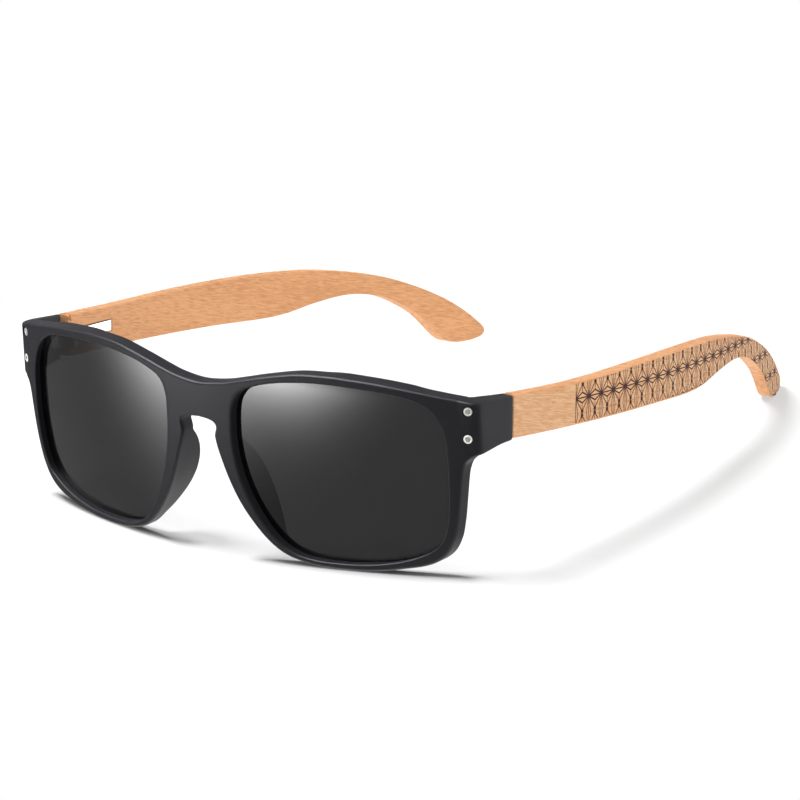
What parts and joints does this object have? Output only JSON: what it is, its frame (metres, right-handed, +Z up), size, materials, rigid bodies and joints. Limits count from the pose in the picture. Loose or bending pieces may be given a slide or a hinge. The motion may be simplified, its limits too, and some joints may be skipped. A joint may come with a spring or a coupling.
{
  "type": "sunglasses",
  "caption": "Rectangular sunglasses with a black plastic front, dark lenses and engraved wooden temples that fold on spring hinges.",
  "frame": {"origin": "on the ground under the middle of the box around the open glasses", "axes": "+X to the wearer's left, +Y from the front back to the temple tips, +Z up"},
  "size_m": [0.145, 0.1677, 0.0477],
  "materials": {
    "front_plastic": "satin",
    "lens": "polished",
    "rivet_steel": "satin",
    "hinge_steel": "satin",
    "screw_steel": "satin",
    "spring_steel": "satin",
    "bush_brass": "satin",
    "housing_steel": "bright",
    "wood": "fine sanded"
  },
  "bodies": {
    "front": {"front_frame": "front_plastic", "left_lens": "lens", "left_rivets": "rivet_steel", "left_front_hinge": "hinge_steel", "left_hinge_screw": "screw_steel", "right_lens": "lens", "right_rivets": "rivet_steel", "right_front_hinge": "hinge_steel", "right_hinge_screw": "screw_steel"},
    "left_hinge_arm": {"left_carriage": "hinge_steel", "left_guide_pin": "screw_steel"},
    "left_temple_unit": {"left_temple": "wood", "left_spring_housing": "housing_steel", "left_stop_bush": "bush_brass", "left_spring": "spring_steel"},
    "right_hinge_arm": {"right_carriage": "hinge_steel", "right_guide_pin": "screw_steel"},
    "right_temple_unit": {"right_temple": "wood", "right_spring_housing": "housing_steel", "right_stop_bush": "bush_brass", "right_spring": "spring_steel"}
  },
  "joints": [
    {"name": "left_fold", "type": "hinge", "parent": "front", "child": "left_hinge_arm", "pos_m": [0.0664, -0.0533, 0.0359], "axis": [0, 0.1219, 0.9925], "range_deg": [-4, 85]},
    {"name": "left_spring_travel", "type": "slide", "parent": "left_hinge_arm", "child": "left_temple_unit", "axis": [0.0739, 0.9898, -0.1215], "range_m": [0, 0.0008], "stiffness_N_per_m": 3600, "springref_m": -0.001, "deforming": ["left_spring"]},
    {"name": "right_fold", "type": "hinge", "parent": "front", "child": "right_hinge_arm", "pos_m": [-0.0664, -0.0533, 0.0359], "axis": [0, -0.1219, -0.9925], "range_deg": [-4, 78]},
    {"name": "right_spring_travel", "type": "slide", "parent": "right_hinge_arm", "child": "right_temple_unit", "axis": [-0.0739, 0.9898, -0.1215], "range_m": [0, 0.0008], "stiffness_N_per_m": 3600, "springref_m": -0.001, "deforming": ["right_spring"]}
  ]
}
